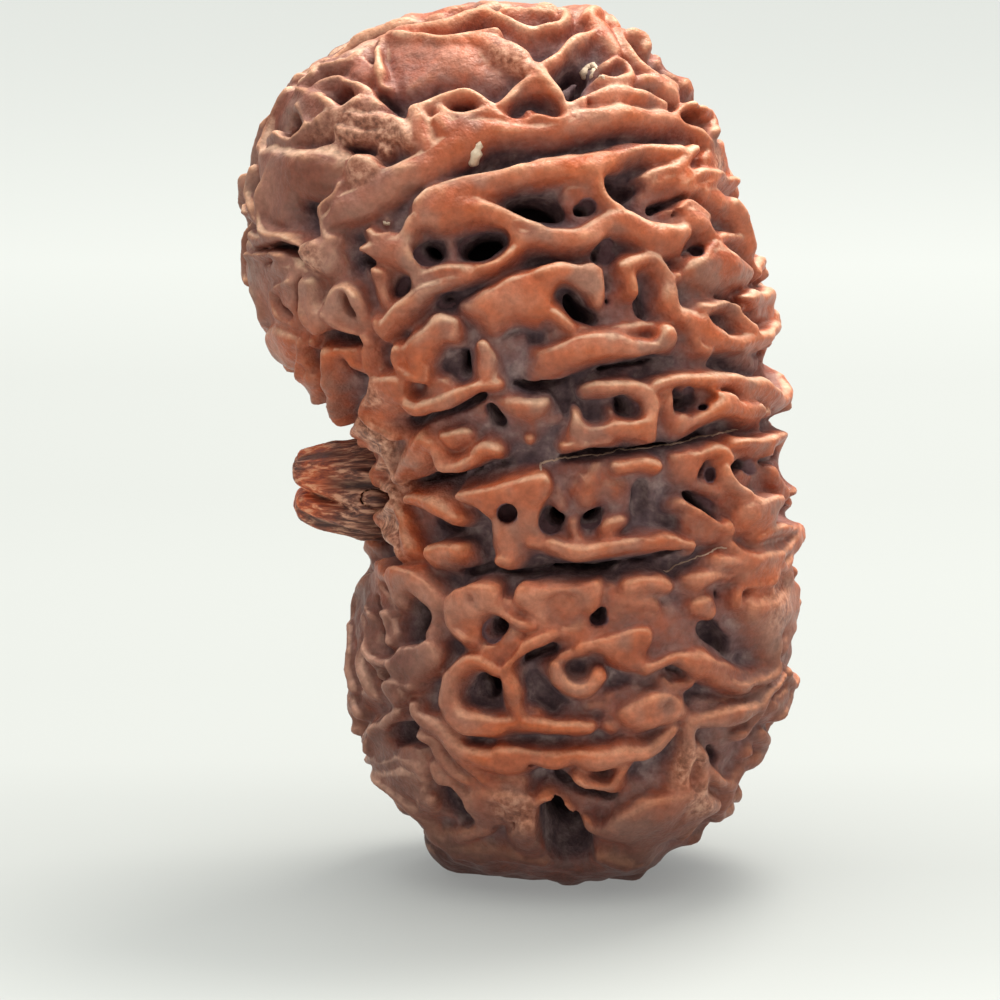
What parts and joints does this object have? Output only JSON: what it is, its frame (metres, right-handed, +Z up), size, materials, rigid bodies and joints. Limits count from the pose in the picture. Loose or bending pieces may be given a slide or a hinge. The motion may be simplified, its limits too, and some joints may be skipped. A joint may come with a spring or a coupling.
{
  "type": "rudraksha seed",
  "caption": "Kidney-shaped rudraksha seed with deep furrows and knobbly ridges, standing on a small flat spot, with a fibrous stalk stub in the hollow at its waist.",
  "frame": {"origin": "middle of the small flat spot at the lower end, on which the seed stands", "axes": "+Z up along the seed's long way; the stalk stub points to -X, the far edge where the furrows run across faces +X, and the broad faces look along -Y and +Y"},
  "size_m": [0.02, 0.0169, 0.0319],
  "materials": {
    "stone": "satin",
    "stalk": "matte"
  },
  "bodies": {
    "root": {"seed_stone": "stone", "stalk_stub": "stalk"}
  },
  "joints": []
}
